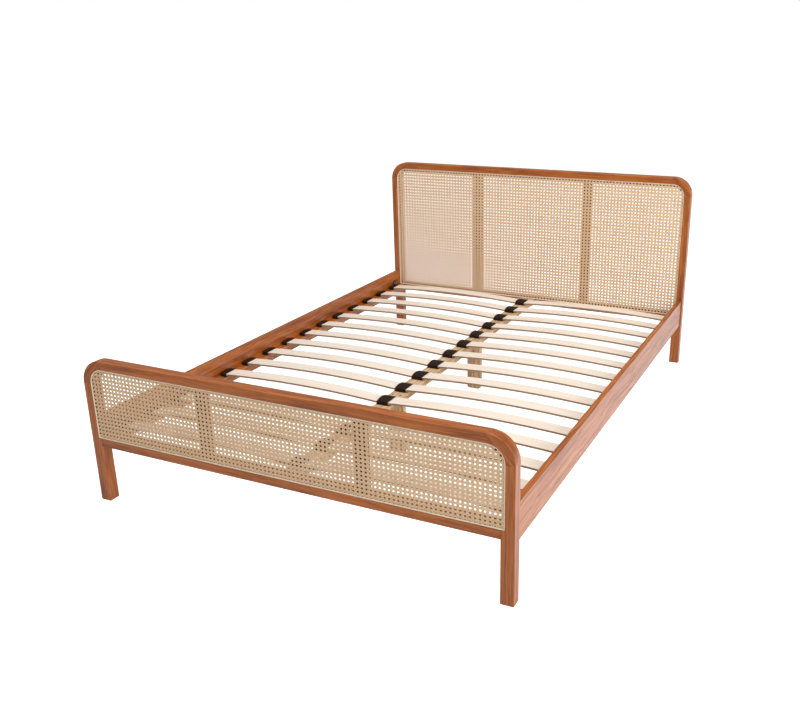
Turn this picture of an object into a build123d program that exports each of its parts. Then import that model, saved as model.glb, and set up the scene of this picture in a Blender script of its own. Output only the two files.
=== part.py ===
from build123d import *
from math import asin, degrees
import os

# Cane bed for a 1400 by 2000 mattress: head and foot frames with woven cane
# sheets, side rails with slat ledgers, a centre rail on two legs and fifteen
# rows of bowed slats. All sizes are in millimetres. The origin is on the
# floor under the middle of the bed, X runs across it and +Y points to the head.

os.makedirs("parts", exist_ok=True)

# Mattress and the room left around it
mattress_width = 1400.0
mattress_length = 2000.0
mattress_side_gap = 5.0
mattress_end_gap = 6.0

# Head and foot frames
headboard_height = 838.0
footboard_height = 493.0
post_width = 40.0
post_depth = 38.0
corner_radius = 80.0
frame_face = 28.0
outer_edge_radius = 3.0
inner_edge_radius = 1.0
bottom_rail_underside = 197.0
bottom_rail_face = 27.0

# Cane sheets, their splines and the stiles behind them. A plain grid of square
# openings in each sheet stands for the open weave.
rebate_depth = 5.0
cane_thickness = 1.6
cane_edge_gap = 0.3
cane_openings_across = 12
cane_opening_side = 56.0
spline_width = 4.0
spline_proud = 1.6
spline_edge_radius = 1.2
groove_depth = 4.0
stile_width = 42.0
stile_thickness = 20.0
stile_offset = 271.0

# Side rails and their ledgers
rail_thickness = 20.0
rail_height = 115.0
rail_underside = 178.0
rail_inset = 5.0
rail_edge_radius = 2.5
bearer_rise = 45.5
ledger_width = 28.0
ledger_height = 32.0
ledger_end_gap = 6.0
ledger_edge_radius = 1.5

# Slats and their holders
slat_pitch = 132.0
first_slat_gap = 43.0
last_slat_gap = 60.0
slat_width = 58.0
slat_thickness = 8.0
slat_camber = 13.0
slat_edge_radius = 2.0
holder_floor = 2.5
holder_wall = 2.0
holder_side_height = 13.5
holder_foot_radius = 4.0
side_holder_crown = 16.0
side_holder_length = 24.0
side_holder_gap = 8.0
centre_holder_crown = 18.5
centre_holder_length = 42.0
peg_diameter = 8.0
peg_length = 12.0

# Centre rail, its legs and its end hangers
centre_rail_width = 58.0
centre_rail_height = 23.0
centre_leg_thickness = 22.0
foot_leg_from_end = 676.0
head_leg_from_end = 646.0
centre_leg_corner_radius = 10.0
hanger_plate = 2.0
hanger_depth = 30.0
hanger_height = 22.0
hanger_ear = 24.0

# Bed bolts that join the side rails to the posts
bolt_diameter = 8.0
bolt_from_inner_face = 8.5
bolt_tail = 3.0
bolt_chamfer = 0.8
insert_diameter = 13.0
insert_length = 22.0
pocket_length = 54.0
pocket_height = 36.0
pocket_depth = 16.0
pocket_from_end = 48.0
washer_rise = 13.0
washer_depth = 12.0
nut_across_flats = 13.0
nut_height = 6.5

# Dowels and screws
dowel_diameter = 8.0
dowel_length = 40.0
stile_dowel_length = 30.0
dowel_spread = 9.0
dowel_chamfer = 0.7
rail_dowel_spread = 38.0
screw_head_diameter = 9.0
screw_head_height = 3.0
screw_shank_diameter = 4.5
ledger_screw_count = 8
ledger_screw_length = 38.0
ledger_screw_height = 10.0
ledger_screw_end = 40.0
leg_screw_length = 60.0
leg_screw_spread = 15.0
hanger_screw_length = 25.0
hanger_screw_spread = 11.0

# Clearances
fit_gap = 0.1
slide_gap = 0.3
hole_end_gap = 0.5

# Sizes worked out from the ones above
inner_half_width = mattress_width / 2 + mattress_side_gap
inner_half_length = mattress_length / 2 + mattress_end_gap
outer_half_width = inner_half_width + rail_thickness + rail_inset
outer_half_length = inner_half_length + post_depth
window_bottom = bottom_rail_underside + bottom_rail_face
rebate_width = post_width - frame_face
bottom_rail_top = window_bottom + rebate_width
rail_middle = rail_underside + rail_height / 2
bearer_top = rail_underside + bearer_rise
slat_underside = bearer_top + holder_floor
slat_near_end = holder_wall + hole_end_gap
side_holder_end = inner_half_width - side_holder_gap
slat_far_end = side_holder_end - holder_wall - hole_end_gap
first_row_y = -inner_half_length + first_slat_gap + slat_width / 2
last_row_y = inner_half_length - last_slat_gap - slat_width / 2
slat_rows = int((last_row_y - first_row_y) // slat_pitch) + 1
centre_leg_foot_y = -inner_half_length + foot_leg_from_end
centre_leg_head_y = inner_half_length - head_leg_from_end
row_places = [first_row_y + slat_pitch * row for row in range(slat_rows)]
holder_width = slat_width + 2 * (holder_wall + slide_gap)
bolt_x = inner_half_width + bolt_from_inner_face
post_centre_x = outer_half_width - post_width / 2
side_peg_x = side_holder_end - side_holder_length / 2


def save(shape, name):
    """Writes one sub-part, as one solid or as a group of separate ones."""
    if isinstance(shape, (list, tuple)):
        solids = [solid for piece in shape for solid in piece.solids()]
    else:
        solids = list(shape.solids())
    whole = solids[0] if len(solids) == 1 else Compound(children=solids)
    export_step(whole, f"parts/{name}.step")


def block(low, high):
    """A box between two opposite corners."""
    size = [b - a for a, b in zip(low, high)]
    middle = [(a + b) / 2 for a, b in zip(low, high)]
    return Pos(*middle) * Box(*size)


def rod(centre, direction, radius, length):
    """A round bar along one of the axes, centred on a point."""
    turn = {"x": Rot(0, 90, 0), "y": Rot(90, 0, 0), "z": Rot(0, 0, 0)}[direction]
    return Pos(*centre) * turn * Cylinder(radius, length)


def edges_along(shape, axis):
    """The straight edges that run along one axis."""
    return shape.edges().filter_by(GeomType.LINE).filter_by(axis)


def stand_up(profile, front, back):
    """A flat profile made upright, with its thickness between two Y values."""
    solid = Rot(90, 0, 0) * extrude(profile, amount=-(back - front))
    return Pos(0, front, 0) * solid


def arch_profile(half_width, bottom, top, radius):
    """A rectangle whose two upper corners are rounded."""
    face = Pos(0, (bottom + top) / 2) * Rectangle(2 * half_width, top - bottom)
    return fillet(face.vertices().group_by(Axis.Y)[-1], radius)


def mirrored(shape):
    """A piece and its twin on the other side of the bed."""
    return [shape, mirror(shape, Plane.YZ)]


def at_four_posts(shape):
    """A piece at the right head post, repeated at the other three posts."""
    pair = mirrored(shape)
    return pair + [mirror(piece, Plane.XZ) for piece in pair]


def drilled(shape, pins):
    """Holes for a list of pins, each given as centre, direction, radius, length."""
    for centre, direction, radius, length in pins:
        shape -= rod(centre, direction, radius + fit_gap, length + 2 * hole_end_gap)
    return shape


def pin_solids(pins):
    """The pins themselves, with a small chamfer at both ends."""
    solids = []
    for centre, direction, radius, length in pins:
        pin = rod(centre, direction, radius, length)
        solids.append(chamfer(pin.edges().filter_by(GeomType.CIRCLE), dowel_chamfer))
    return solids


def screw(tip, direction, length, sign):
    """A countersunk screw along one axis, its head flush at the far end.

    The tip is the screw's point. The head lies length away, towards sign."""
    head = Cone(screw_shank_diameter / 2, screw_head_diameter / 2, screw_head_height)
    shank = Cylinder(screw_shank_diameter / 2, length - screw_head_height)
    body = Pos(0, 0, (length - screw_head_height) / 2) * shank
    body += Pos(0, 0, length - screw_head_height / 2) * head
    turns = {"x": Rot(0, 90 * sign, 0), "y": Rot(-90 * sign, 0, 0), "z": Rot(0, 0, 0)}
    return Pos(*tip) * turns[direction] * body


def screw_hole(tip, direction, length, sign):
    """The hole that such a screw sits in."""
    wide = Cone(
        screw_shank_diameter / 2 + fit_gap,
        screw_head_diameter / 2 + fit_gap,
        screw_head_height,
    )
    shank = Cylinder(screw_shank_diameter / 2 + fit_gap, length)
    body = Pos(0, 0, length / 2 - hole_end_gap) * shank
    body += Pos(0, 0, length - screw_head_height / 2) * wide
    turns = {"x": Rot(0, 90 * sign, 0), "y": Rot(-90 * sign, 0, 0), "z": Rot(0, 0, 0)}
    return Pos(*tip) * turns[direction] * body


def frame_blank(height):
    """Both posts, both corners and the top rail of a frame, before it is cut.

    The front face is at Y = 0. The outer edges are rounded, the inner eased."""
    half = outer_half_width
    outer = stand_up(arch_profile(half, 0, height, corner_radius), 0, post_depth)
    rounded = [
        edge
        for edge in outer.edges()
        if edge.center().Z > 1 and abs(edge.center().Y - post_depth / 2) > 1
    ]
    outer = fillet(rounded, outer_edge_radius)
    inner_half = half - post_width
    inner_top = height - post_width
    opening = arch_profile(inner_half, -1, inner_top, corner_radius - post_width)
    blank = outer - stand_up(opening, -1, post_depth + 1)
    eased = [
        edge
        for edge in blank.edges()
        if max(abs(corner.X) for corner in edge.vertices()) < inner_half + 0.1
        and max(corner.Z for corner in edge.vertices()) < inner_top + 0.1
        and max(corner.Z for corner in edge.vertices()) > 1
        and abs(edge.center().Y - post_depth / 2) > post_depth / 2 - 0.1
    ]
    return fillet(eased, inner_edge_radius)


def window_profile(height, inset):
    """The cane window of a frame, drawn in from its edge by an inset."""
    half = outer_half_width - frame_face - inset
    top = height - frame_face - inset
    radius = corner_radius - frame_face - inset
    return arch_profile(half, window_bottom + inset, top, radius)


def cane_seat(height):
    """What is cut from a frame for its cane sheet: a rebate and a spline groove."""
    rebate = stand_up(window_profile(height, 0), -1, rebate_depth)
    groove = window_profile(height, 0) - window_profile(height, spline_width)
    return rebate + stand_up(groove, -1, rebate_depth + groove_depth)


def cane_sheet(height):
    """The cane of one frame: a thin sheet with a plain grid of openings."""
    sheet = window_profile(height, spline_width + cane_edge_gap)
    low, high = sheet.bounding_box().min, sheet.bounding_box().max
    pitch_across = (high.X - low.X) / cane_openings_across
    rows = round((high.Y - low.Y) / pitch_across)
    pitch_up = (high.Y - low.Y) / rows
    opening = Rectangle(cane_opening_side, cane_opening_side)
    grid = GridLocations(pitch_across, pitch_up, cane_openings_across, rows)
    middle = Pos(0, (low.Y + high.Y) / 2)
    sheet -= [middle * place * opening for place in grid]
    return stand_up(sheet, rebate_depth - cane_thickness, rebate_depth)


def frame_pins(height):
    """Where the dowels of a frame go: corners, bottom rail and stiles."""
    radius = dowel_diameter / 2
    middle = post_depth / 2
    joint_z = height - corner_radius
    joint_x = outer_half_width - corner_radius
    rail_z = (bottom_rail_underside + bottom_rail_top) / 2
    stile_y = rebate_depth + stile_thickness / 2
    pins = []
    for side in (-1, 1):
        for y in (middle - dowel_spread, middle + dowel_spread):
            post_joint = (side * post_centre_x, y, joint_z)
            top_joint = (side * joint_x, y, height - post_width / 2)
            rail_joint = (side * (outer_half_width - post_width), y, rail_z)
            pins.append((post_joint, "z", radius, dowel_length))
            pins.append((top_joint, "x", radius, dowel_length))
            pins.append((rail_joint, "x", radius, dowel_length))
        for z in (bottom_rail_top, height - post_width):
            stile_joint = (side * stile_offset, stile_y, z)
            pins.append((stile_joint, "z", radius, stile_dowel_length))
    return pins


def shifted_pins(pins, distance):
    """The same pins, moved along Y."""
    return [((x, y + distance, z), *rest) for (x, y, z), *rest in pins]


def rail_pins():
    """Dowels between one side rail and the right head post."""
    x = inner_half_width + rail_thickness / 2
    radius = dowel_diameter / 2
    return [
        ((x, inner_half_length, rail_middle + rise), "y", radius, dowel_length)
        for rise in (-rail_dowel_spread, rail_dowel_spread)
    ]


def insert_pin():
    """The threaded insert's place in the right head post."""
    centre = (bolt_x, inner_half_length + insert_length / 2, rail_middle)
    return (centre, "y", insert_diameter / 2, insert_length)


def post_cuts():
    """What the side rail joint takes out of the right head post."""
    pins = rail_pins() + [insert_pin()]
    cuts = [rod(c, d, r + fit_gap, n + 2 * hole_end_gap) for c, d, r, n in pins]
    return cuts[0] + cuts[1] + cuts[2]


def frame_nodes(name, height, front):
    """Every wooden and cane piece of the head or the foot frame."""
    half = outer_half_width
    blank = frame_blank(height)
    seat = cane_seat(height)
    pins = frame_pins(height)
    blank = blank - seat
    joint_x = half - corner_radius
    joint_z = height - corner_radius
    place = Pos(0, front, 0)

    sides = {"left": (-half - 1, -joint_x), "right": (joint_x, half + 1)}
    is_head = front > 0
    for side, (low_x, high_x) in sides.items():
        cuts = post_cuts()
        if side == "left":
            cuts = mirror(cuts, Plane.YZ)
        if not is_head:
            cuts = mirror(cuts, Plane.XZ)
        post = blank & block((low_x, -1, -1), (high_x, post_depth + 1, joint_z))
        corner = blank & block((low_x, -1, joint_z), (high_x, post_depth + 1, height + 1))
        save(place * drilled(post, pins) - cuts, f"{name}_post_{side}")
        save(place * drilled(corner, pins), f"{name}_corner_{side}")
    top = blank & block((-joint_x, -1, joint_z), (joint_x, post_depth + 1, height + 1))
    save(place * drilled(top, pins), f"{name}_top_rail")

    rail_half = half - post_width
    low = (-rail_half, 0, bottom_rail_underside)
    rail = block(low, (rail_half, post_depth, bottom_rail_top))
    rail = fillet(edges_along(rail, Axis.X), inner_edge_radius)
    rail = drilled(rail - seat, pins)
    rail = place * rail
    for hole in hanger_screw_places(is_head):
        rail -= screw_hole(*hole)
    save(rail, f"{name}_bottom_rail")

    stile_back = rebate_depth + stile_thickness
    for side, sign in (("left", -1), ("right", 1)):
        middle = sign * stile_offset
        low = (middle - stile_width / 2, rebate_depth, bottom_rail_top)
        high = (middle + stile_width / 2, stile_back, height - post_width)
        stile = drilled(block(low, high), pins)
        save(place * stile, f"{name}_stile_{side}")

    save(place * cane_sheet(height), f"{name}_cane_sheet")

    ring = window_profile(height, fit_gap) - window_profile(height, spline_width - fit_gap)
    front_depth = rebate_depth - cane_thickness - spline_proud
    spline = stand_up(ring, front_depth, rebate_depth + groove_depth - fit_gap)
    shown = [edge for edge in spline.edges() if edge.center().Y < front_depth + 0.1]
    spline = fillet(shown, spline_edge_radius)
    save(place * spline, f"{name}_cane_spline")

    save(pin_solids(shifted_pins(pins, front)), f"{name}_frame_dowels")


def ledger_screw_places():
    """Tip, direction, length and side of each screw in the right ledger."""
    reach = inner_half_length - ledger_end_gap - ledger_screw_end
    step = 2 * reach / (ledger_screw_count - 1)
    tip_x = inner_half_width - ledger_width + ledger_screw_length
    z = bearer_top - ledger_height + ledger_screw_height
    return [
        ((tip_x, -reach + step * index, z), "x", ledger_screw_length, -1)
        for index in range(ledger_screw_count)
    ]


def side_rail():
    """The right side rail, with its bolt pockets, dowel holes and screw holes."""
    low = (inner_half_width, -inner_half_length, rail_underside)
    high = (inner_half_width + rail_thickness, inner_half_length, rail_underside + rail_height)
    rail = block(low, high)
    rail = fillet(edges_along(rail, Axis.Y), rail_edge_radius)
    pocket = SlotOverall(pocket_length, pocket_height)
    pocket = Plane.YZ * extrude(pocket, amount=pocket_depth + 1)
    pocket = Pos(inner_half_width - 1, inner_half_length - pocket_from_end, rail_middle) * pocket
    hole = rod(
        (bolt_x, inner_half_length - pocket_from_end / 2, rail_middle),
        "y",
        bolt_diameter / 2 + hole_end_gap,
        pocket_from_end + 1,
    )
    joint = pocket + hole
    for centre, direction, radius, length in rail_pins():
        joint += rod(centre, direction, radius + fit_gap, length + 2 * hole_end_gap)
    rail = rail - joint - mirror(joint, Plane.XZ)
    for place in ledger_screw_places():
        rail -= screw_hole(*place)
    return rail


def ledger():
    """The right ledger, which carries the outer slat holders."""
    reach = inner_half_length - ledger_end_gap
    low = (inner_half_width - ledger_width, -reach, bearer_top - ledger_height)
    strip = block(low, (inner_half_width, reach, bearer_top))
    strip = fillet(edges_along(strip, Axis.Y).sort_by(Axis.X)[:2], ledger_edge_radius)
    for place in ledger_screw_places():
        strip -= screw_hole(*place)
    for y in row_places:
        strip -= peg_hole(side_peg_x, y)
    return strip


def peg_hole(x, y):
    """The hole in a bearer for the peg under one slat holder."""
    depth = peg_length + hole_end_gap
    centre = (x, y, bearer_top - depth / 2)
    return rod(centre, "z", peg_diameter / 2 + fit_gap, depth)


def slat(gap=0.0):
    """The right slat of the row at Y = 0, bowed upwards along its length.

    A rounded section is turned about an axis far below the bed. With a gap the
    slat is that much larger on every side, to cut its sockets."""
    half_span = (slat_far_end - slat_near_end) / 2
    bend_radius = (half_span**2 + slat_camber**2) / (2 * slat_camber)
    half_angle = degrees(asin((half_span + gap) / bend_radius))
    section = RectangleRounded(slat_width + 2 * gap, slat_thickness + 2 * gap, slat_edge_radius)
    section = Plane.YZ * Pos(0, bend_radius + slat_thickness / 2) * section
    body = Rot(0, -half_angle, 0) * revolve(section, Axis.Y, 2 * half_angle)
    middle = (slat_near_end + slat_far_end) / 2
    crown = slat_underside + slide_gap + slat_camber
    return Pos(middle, 0, crown - bend_radius) * body


def holder_body(low_x, high_x, crown_height):
    """A slat holder before its sockets are cut: flat below, arched above."""
    half = holder_width / 2
    floor = Line((-half, 0), (half, 0))
    right = Line((half, 0), (half, holder_side_height))
    crown = ThreePointArc(
        (half, holder_side_height),
        (0, crown_height),
        (-half, holder_side_height),
    )
    left = Line((-half, holder_side_height), (-half, 0))
    profile = make_face([floor, right, crown, left])
    profile = fillet(profile.vertices().group_by(Axis.Y)[0], holder_foot_radius)
    body = Plane.YZ * extrude(profile, amount=high_x - low_x)
    return Pos(low_x, 0, bearer_top) * body


def peg(x):
    """The peg under a slat holder."""
    return rod((x, 0, bearer_top - peg_length / 2), "z", peg_diameter / 2, peg_length)


def side_holder():
    """The black holder at the outer end of a slat, on the right ledger."""
    near_end = side_holder_end - side_holder_length
    body = holder_body(near_end, side_holder_end, side_holder_crown)
    return body + peg(side_peg_x) - slat(slide_gap)


def centre_holder():
    """The black double holder between the two slats of a row."""
    half = centre_holder_length / 2
    body = holder_body(-half, half, centre_holder_crown) + peg(0)
    for socket in mirrored(slat(slide_gap)):
        body -= socket
    return body


def leg_screw_places():
    """The screws that hold the two centre legs under the centre rail."""
    tip_z = bearer_top - leg_screw_length
    return [
        ((x, y, tip_z), "z", leg_screw_length, 1)
        for y in (centre_leg_foot_y, centre_leg_head_y)
        for x in (-leg_screw_spread, leg_screw_spread)
    ]


def centre_rail():
    """The flat rail under the middle of the slats."""
    half = centre_rail_width / 2
    reach = inner_half_length - hole_end_gap
    low = (-half, -reach, bearer_top - centre_rail_height)
    rail = block(low, (half, reach, bearer_top))
    rail = fillet(edges_along(rail, Axis.Y), inner_edge_radius)
    for y in row_places:
        rail -= peg_hole(0, y)
    for place in leg_screw_places():
        rail -= screw_hole(*place)
    return rail


def centre_leg(y):
    """One board leg under the centre rail, rounded at its two lower corners."""
    half = centre_rail_width / 2
    top = bearer_top - centre_rail_height
    profile = Pos(0, top / 2) * Rectangle(2 * half, top)
    lower = profile.vertices().group_by(Axis.Y)[0]
    profile = fillet(lower, centre_leg_corner_radius)
    front = y - centre_leg_thickness / 2
    leg = stand_up(profile, front, front + centre_leg_thickness)
    for place in leg_screw_places():
        leg -= screw_hole(*place)
    return leg


def hanger_screw_places(is_head):
    """The screws that hold one hanger to the bottom rail behind it."""
    sign = 1 if is_head else -1
    reach = inner_half_length - hanger_plate + hanger_screw_length
    x = centre_rail_width / 2 + slide_gap + hanger_plate + hanger_ear / 2
    middle = bearer_top - centre_rail_height + hanger_height / 2 - hanger_plate
    return [
        ((side * x, sign * reach, middle + rise), "y", hanger_screw_length, -sign)
        for side in (-1, 1)
        for rise in (-hanger_screw_spread / 2, hanger_screw_spread / 2)
    ]


def hanger():
    """The bent steel hanger that carries the head end of the centre rail."""
    inner = centre_rail_width / 2 + slide_gap
    outer = inner + hanger_plate
    ear = outer + hanger_ear
    low = bearer_top - centre_rail_height - hanger_plate
    high = low + hanger_height
    back = inner_half_length
    front = back - hanger_depth
    tray = block((-outer, front, low), (outer, back, high))
    tray -= block((-inner, front - 1, low + hanger_plate), (inner, back + 1, high + 1))
    ears = block((-ear, back - hanger_plate, low), (ear, back, high))
    ears -= block((-inner, front, low + hanger_plate), (inner, back + 1, high + 1))
    body = tray + ears
    for place in hanger_screw_places(True):
        body -= screw_hole(*place)
    return body


def bed_bolt():
    """The stud at the right head post, through the rail's end into its pocket."""
    wall = inner_half_length - pocket_from_end + pocket_length / 2
    inner_end = wall - washer_rise - nut_height - bolt_tail
    outer_end = inner_half_length + insert_length
    middle = (inner_end + outer_end) / 2
    stud = rod((bolt_x, middle, rail_middle), "y", bolt_diameter / 2, outer_end - inner_end)
    return chamfer(stud.edges().filter_by(GeomType.CIRCLE), bolt_chamfer)


def bore(start, end):
    """The running hole for the stud, between two Y values."""
    middle = (start + end) / 2
    radius = bolt_diameter / 2 + fit_gap
    return rod((bolt_x, middle, rail_middle), "y", radius, end - start + 2)


def threaded_insert():
    """The steel insert in the post that the stud screws into."""
    centre, direction, radius, length = insert_pin()
    sleeve = rod(centre, direction, radius, length)
    return sleeve - bore(inner_half_length, inner_half_length + insert_length)


def half_moon_washer():
    """The washer whose round side fits the round end of the rail's pocket."""
    radius = pocket_height / 2
    wall = inner_half_length - pocket_from_end + pocket_length / 2
    centre_y = wall - radius
    disc = rod((bolt_x, centre_y, rail_middle), "x", radius - fit_gap, washer_depth)
    flat = block(
        (bolt_x - washer_depth, centre_y - 2 * radius, rail_middle - 2 * radius),
        (bolt_x + washer_depth, wall - washer_rise, rail_middle + 2 * radius),
    )
    return disc - flat - bore(centre_y, wall)


def bolt_nut():
    """The hexagon nut in the pocket, against the washer's flat side."""
    wall = inner_half_length - pocket_from_end + pocket_length / 2
    seat = wall - washer_rise
    outline = RegularPolygon(nut_across_flats / 2, 6, major_radius=False, rotation=30)
    body = Rot(90, 0, 0) * extrude(outline, amount=nut_height)
    body = Pos(bolt_x, seat, rail_middle) * body
    return body - bore(seat - nut_height, seat)


def row_copies(shape):
    """A piece of the row at Y = 0, repeated at every row."""
    return [Pos(0, y, 0) * shape for y in row_places]


frame_nodes("head", headboard_height, inner_half_length)
frame_nodes("foot", footboard_height, -outer_half_length)

right_rail, left_rail = mirrored(side_rail())
save(right_rail, "side_rail_right")
save(left_rail, "side_rail_left")

right_ledger, left_ledger = mirrored(ledger())
save(right_ledger, "slat_ledger_right")
save(left_ledger, "slat_ledger_left")

right_slat, left_slat = mirrored(slat())
for number, row_y in enumerate(row_places, start=1):
    row = [Pos(0, row_y, 0) * right_slat, Pos(0, row_y, 0) * left_slat]
    save(row, f"slat_row_{number:02d}")

right_holder, left_holder = mirrored(side_holder())
save(row_copies(right_holder), "slat_holders_right")
save(row_copies(left_holder), "slat_holders_left")
save(row_copies(centre_holder()), "slat_holders_centre")

save(centre_rail(), "centre_rail")
save(centre_leg(centre_leg_foot_y), "centre_leg_foot")
save(centre_leg(centre_leg_head_y), "centre_leg_head")
save([hanger(), mirror(hanger(), Plane.XZ)], "centre_rail_hangers")

save(at_four_posts(bed_bolt()), "bed_bolts")
save(at_four_posts(threaded_insert()), "threaded_inserts")
save(at_four_posts(half_moon_washer()), "half_moon_washers")
save(at_four_posts(bolt_nut()), "bed_bolt_nuts")
save([pin for one in pin_solids(rail_pins()) for pin in at_four_posts(one)], "side_rail_dowels")

ledger_screws = [screw(*place) for place in ledger_screw_places()]
save([pair for one in ledger_screws for pair in mirrored(one)], "ledger_screws")
save([screw(*place) for place in leg_screw_places()], "centre_leg_screws")
hanger_places = hanger_screw_places(True) + hanger_screw_places(False)
save([screw(*place) for place in hanger_places], "hanger_screws")
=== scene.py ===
import math

import bpy
import numpy as np
from bpy.props import FloatProperty, FloatVectorProperty, PointerProperty
from bpy.types import Operator, Panel, PropertyGroup
from mathutils import Matrix, Vector


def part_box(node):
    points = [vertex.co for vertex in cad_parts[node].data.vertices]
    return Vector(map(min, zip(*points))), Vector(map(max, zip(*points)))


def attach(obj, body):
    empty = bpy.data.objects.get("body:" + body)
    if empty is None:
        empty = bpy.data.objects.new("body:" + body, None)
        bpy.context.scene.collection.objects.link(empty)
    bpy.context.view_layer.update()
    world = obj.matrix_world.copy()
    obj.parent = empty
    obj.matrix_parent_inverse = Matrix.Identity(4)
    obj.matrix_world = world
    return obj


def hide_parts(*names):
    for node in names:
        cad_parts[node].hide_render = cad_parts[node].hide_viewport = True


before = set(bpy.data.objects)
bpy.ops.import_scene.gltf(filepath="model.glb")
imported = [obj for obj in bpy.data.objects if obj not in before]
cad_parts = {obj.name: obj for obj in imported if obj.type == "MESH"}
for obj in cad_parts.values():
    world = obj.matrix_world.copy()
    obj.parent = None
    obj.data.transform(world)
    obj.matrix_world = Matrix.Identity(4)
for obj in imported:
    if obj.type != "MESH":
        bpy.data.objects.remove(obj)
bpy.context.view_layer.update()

bl_info = {
    "name": "Cane Bed",
    "version": (1, 0, 0),
    "blender": (4, 5, 0),
    "location": "3D View > Sidebar > Cane Bed",
    "description": "Finishes, woven cane and studio for a cane bed",
    "category": "Object",
}

MM = 0.001
RANDOM_SEED = 7

# How far the grain pattern moves from one piece to the next, in metres
BOARD_STEP = (0.37, 0.53, 0.71)

# Shares of each layer in the wood grain
BAND_SHARE = 0.25
STREAK_SHARE = 0.50
FIBRE_SHARE = 0.25
PORE_SHARE = 0.16

# The plies of the slats: height of a dark and a light one, and how pale the light ones are
PLY_PERIOD = 1.6 * MM
PLY_CONTRAST = 0.35
PLY_PALE = 1.9

# Wood this near the plane of a sheet's back is the cane's seat, which gets a painted shade
SEAT_DEPTH = 0.5 * MM

# How far strands stand off the sheet's middle, in strand thicknesses
PAIR_LIFT = 0.55
SLANT_LIFT = 1.12

# Half widths of a strand's section at its back and front, in strand widths
BACK_HALF = 0.5
FRONT_HALF = 0.36

# From a pair's strand to where the strand over it lies flat again, in strand widths
PAIR_SHOULDER = 0.75

# The level part of a slanting strand, to each side of a crossing, in cells
SLANT_SHOULDER = 0.19

# Points tested along a strand's line to find its ends, and how far to each side they go
LINE_POINTS = 6001
PAIR_REACH = 1.0
SLANT_REACH = 2.0

# No knot lies nearer to a strand's end than this, and no slanting strand is shorter
END_ROOM = 0.2 * MM
SHORTEST_SLANT = 2 * MM

# Width of the camera's sensor in millimetres
SENSOR_WIDTH = 36.0

# Lamps: place, aim and size in metres
KEY_LAMP = ((0.6, -0.8, 4.2), (0.0, 0.0, 0.2), 4.0)
SIDE_LAMP = ((4.5, -1.5, 2.2), (0.0, 0.0, 0.4), 3.0)

# The studio floor: half its width, its white, its glow, and where that glow starts and is full in gloss;
# the glow in gloss is a painted reflection that puts a sheen on the bed's sides
FLOOR_HALF = 30.0
FLOOR_WHITE = 0.86
FLOOR_GLOW = 0.70
GLOW_START = -1.3
GLOW_FULL = -0.6

# Wooden pieces of the frame, each with the way its grain runs
WOOD_GRAIN = {
    "head_post_left": "Z",
    "head_post_right": "Z",
    "foot_post_left": "Z",
    "foot_post_right": "Z",
    "head_corner_left": "RISING",
    "foot_corner_left": "RISING",
    "head_corner_right": "FALLING",
    "foot_corner_right": "FALLING",
    "head_top_rail": "X",
    "foot_top_rail": "X",
    "head_bottom_rail": "X",
    "foot_bottom_rail": "X",
    "head_stile_left": "Z",
    "head_stile_right": "Z",
    "foot_stile_left": "Z",
    "foot_stile_right": "Z",
    "side_rail_left": "Y",
    "side_rail_right": "Y",
    "slat_ledger_left": "Y",
    "slat_ledger_right": "Y",
}

# Turns that bring each grain direction on to the X axis of the pattern
GRAIN_TURNS = {
    "X": (0.0, 0.0, 0.0),
    "Y": (0.0, 0.0, -math.pi / 2),
    "Z": (0.0, math.pi / 2, 0.0),
    "RISING": (0.0, math.pi / 4, 0.0),
    "FALLING": (0.0, -math.pi / 4, 0.0),
}


def colour(name, description, default):
    """A colour setting, in linear red, green and blue."""
    return FloatVectorProperty(
        name=name, description=description, subtype="COLOR", size=3, min=0.0, max=1.0, default=default
    )


def length(name, description, default):
    """A length setting, in metres."""
    return FloatProperty(
        name=name, description=description, unit="LENGTH", precision=5, min=0.0, default=default
    )


class CaneBedWeaveSettings(PropertyGroup):
    """Sizes of the two woven cane sheets."""

    foot_pitch_across: length("Foot pitch across", "Between hole centres in a row, foot", 14.24 * MM)
    foot_pitch_up: length("Foot pitch up", "Between hole rows, foot", 13.1 * MM)
    head_pitch_across: length("Head pitch across", "Between hole centres in a row, head", 14.77 * MM)
    head_pitch_up: length("Head pitch up", "Between hole rows, head", 14.2 * MM)
    foot_shift: length("Foot shift", "From the sheet's middle to a hole column, foot", 4.3 * MM)
    head_shift: length("Head shift", "From the sheet's middle to a hole column, head", 5.5 * MM)
    foot_first_row: length("Foot first row", "First hole row above the sheet's edge, foot", 12.4 * MM)
    head_first_row: length("Head first row", "First hole row above the sheet's edge, head", 4.0 * MM)
    foot_strand_width: length("Foot strand width", "Width of one strand, foot", 3.4 * MM)
    head_strand_width: length("Head strand width", "Width of one strand, head", 3.45 * MM)
    strand_thickness: length("Strand thickness", "Thickness of one cane strand", 0.55 * MM)
    pair_gap: length("Pair gap", "Free space between the two strands of a pair", 1.0 * MM)
    corner_radius: length("Corner radius", "Radius of the sheets' upper corners", 47.7 * MM)
    tint_spread: FloatProperty(
        name="Tint spread", description="How much strands differ in tint", default=0.5, min=0.0, max=1.0
    )


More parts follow.
